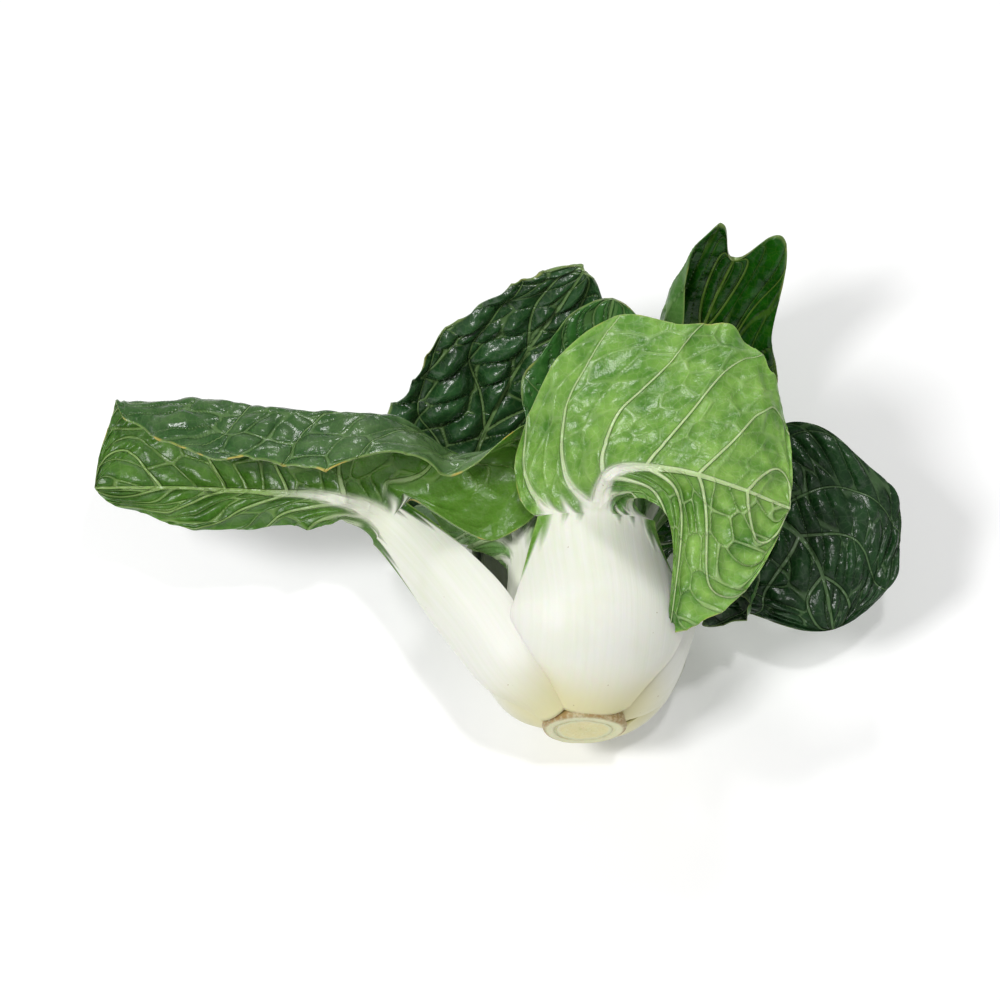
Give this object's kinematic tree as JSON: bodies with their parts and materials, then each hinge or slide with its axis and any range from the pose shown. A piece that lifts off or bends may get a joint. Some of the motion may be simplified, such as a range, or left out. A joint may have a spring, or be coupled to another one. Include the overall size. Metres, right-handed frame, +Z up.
{
  "type": "bok choy head",
  "caption": "Cut head of dwarf white-stalked bok choy lying on its side: a bulb of fleshy white stalks that carry on as the midribs of thin, waved green leaves.",
  "frame": {"origin": "under the middle of the head's bounding box, on the surface that it lies on", "axes": "+Z up; the cut stem points to -Y and the leaf tips to +Y; +X runs across the head, along its longest extent, so the leaf that leans out to the side points to -X"},
  "size_m": [0.2228, 0.1376, 0.0901],
  "materials": {
    "cut_stem": "damp cut plant tissue, matte",
    "stalk": "waxy white plant tissue, satin",
    "blade": "dark green leaf, smooth and a little glossy above, paler below",
    "young_blade": "bright yellow-green leaf, satin"
  },
  "bodies": {
    "root": {"stem": "cut_stem", "stalk_left": "stalk", "blade_left": "blade", "stalk_under_right": "stalk", "blade_under_right": "blade", "stalk_front": "stalk", "blade_front": "young_blade", "stalk_under_left": "stalk", "blade_under_left": "blade", "stalk_right": "stalk", "blade_right": "blade", "stalk_inner_left": "stalk", "blade_inner_left": "blade", "stalk_inner_under": "stalk", "blade_inner_under": "blade", "stalk_inner_right": "stalk", "blade_inner_right": "blade", "stalk_heart_left": "stalk", "blade_heart_left": "young_blade", "stalk_heart_right": "stalk", "blade_heart_right": "young_blade"}
  },
  "joints": []
}
